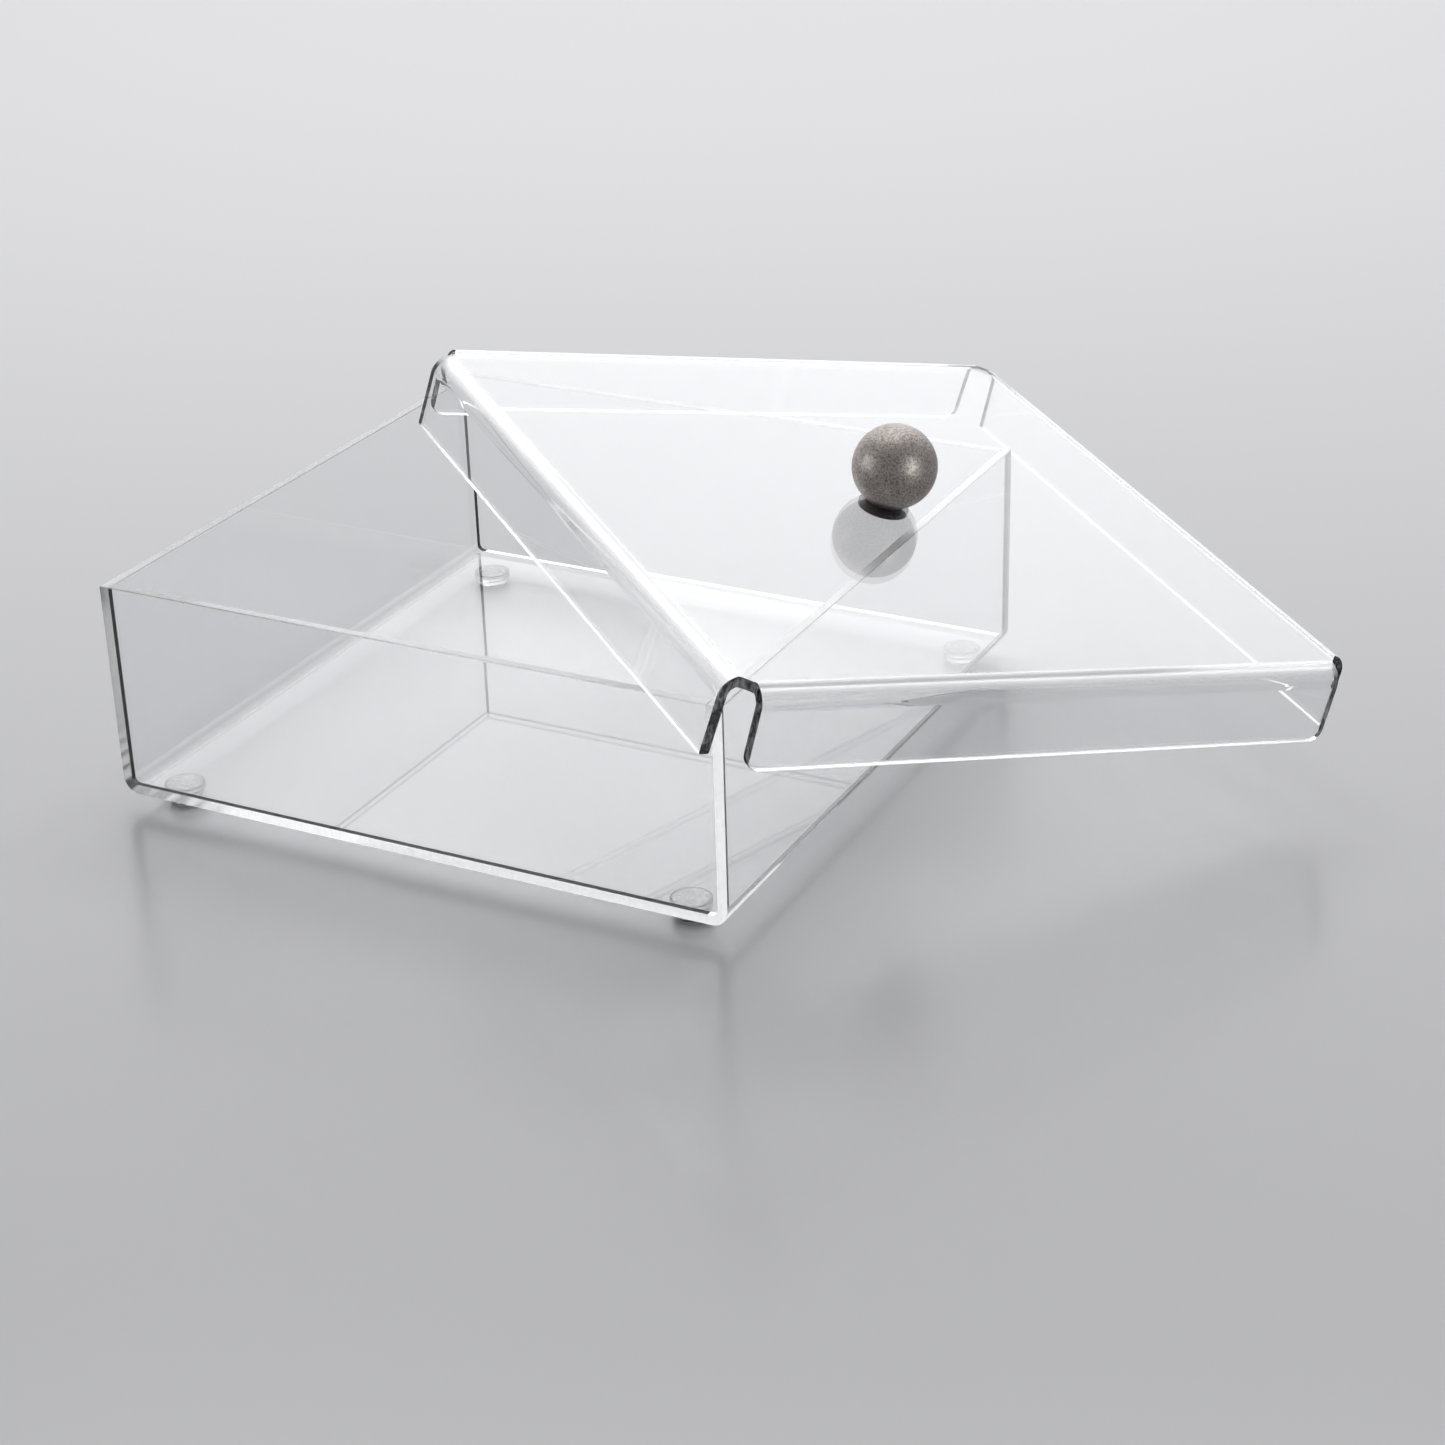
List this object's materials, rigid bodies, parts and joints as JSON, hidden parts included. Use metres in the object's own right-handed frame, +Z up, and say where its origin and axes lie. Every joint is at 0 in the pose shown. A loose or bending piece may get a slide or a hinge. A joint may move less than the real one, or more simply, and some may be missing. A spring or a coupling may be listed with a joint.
{
  "type": "lidded display box",
  "caption": "Low square clear acrylic display box on bumper feet, with a loose flanged lid that carries a metal ball knob and lies askew over one corner",
  "frame": {"origin": "Centre of the underside of the tray's base. The four bumper feet reach 4.5 mm below it.", "axes": "+Z up; +X runs along the front panel from the left bent wall to the right bent wall, towards the side where the lid overhangs; +Y runs from the front panel to the back panel."},
  "size_m": [0.3249, 0.2799, 0.1175],
  "materials": {
    "clear_acrylic": "clear, polished faces and edges",
    "clear_bumper": "clear soft bumper, glossy",
    "adhesive_film": "clear adhesive",
    "satin_metal": "satin nickel tone, fine grain",
    "screw_metal": "dark polished"
  },
  "bodies": {
    "tray": {"tray_shell": "clear_acrylic", "front_panel": "clear_acrylic", "back_panel": "clear_acrylic", "foot_front_left": "clear_bumper", "foot_front_right": "clear_bumper", "foot_back_left": "clear_bumper", "foot_back_right": "clear_bumper", "foot_adhesives": "adhesive_film"},
    "lid": {"lid_sheet": "clear_acrylic", "knob_screw": "screw_metal", "knob_ball": "satin_metal"}
  },
  "joints": [
    {"name": "lid_lift", "type": "slide", "parent": "tray", "child": "lid", "axis": [0, 0, 1], "range_m": [0, 0.12]}
  ]
}
